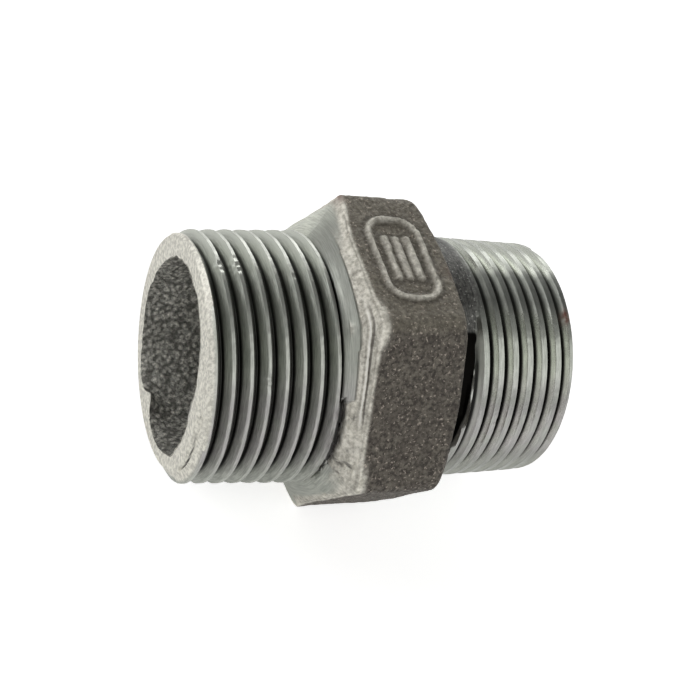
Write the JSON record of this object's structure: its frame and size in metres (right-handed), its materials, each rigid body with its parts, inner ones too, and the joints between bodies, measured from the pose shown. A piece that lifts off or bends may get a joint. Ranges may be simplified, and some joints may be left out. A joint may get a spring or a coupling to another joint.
{
  "type": "hex nipple",
  "caption": "Malleable iron pipe nipple with a through bore, a wrench hexagon in the middle and a tapered male pipe thread on each end.",
  "frame": {"origin": "on the axis of the bore, half way between the two end faces", "axes": "+X along the bore; +Z square to the wrench flat that carries the raised mark; +Y towards a corner of the hexagon"},
  "size_m": [0.0498, 0.0436, 0.0382],
  "materials": {
    "cast_iron": "uncoated black malleable iron: coarse as-cast skin on the hexagon and in the bore, bright cut threads, turned shoulder and faced ends"
  },
  "bodies": {
    "root": {"nipple_body": "cast_iron"}
  },
  "joints": []
}
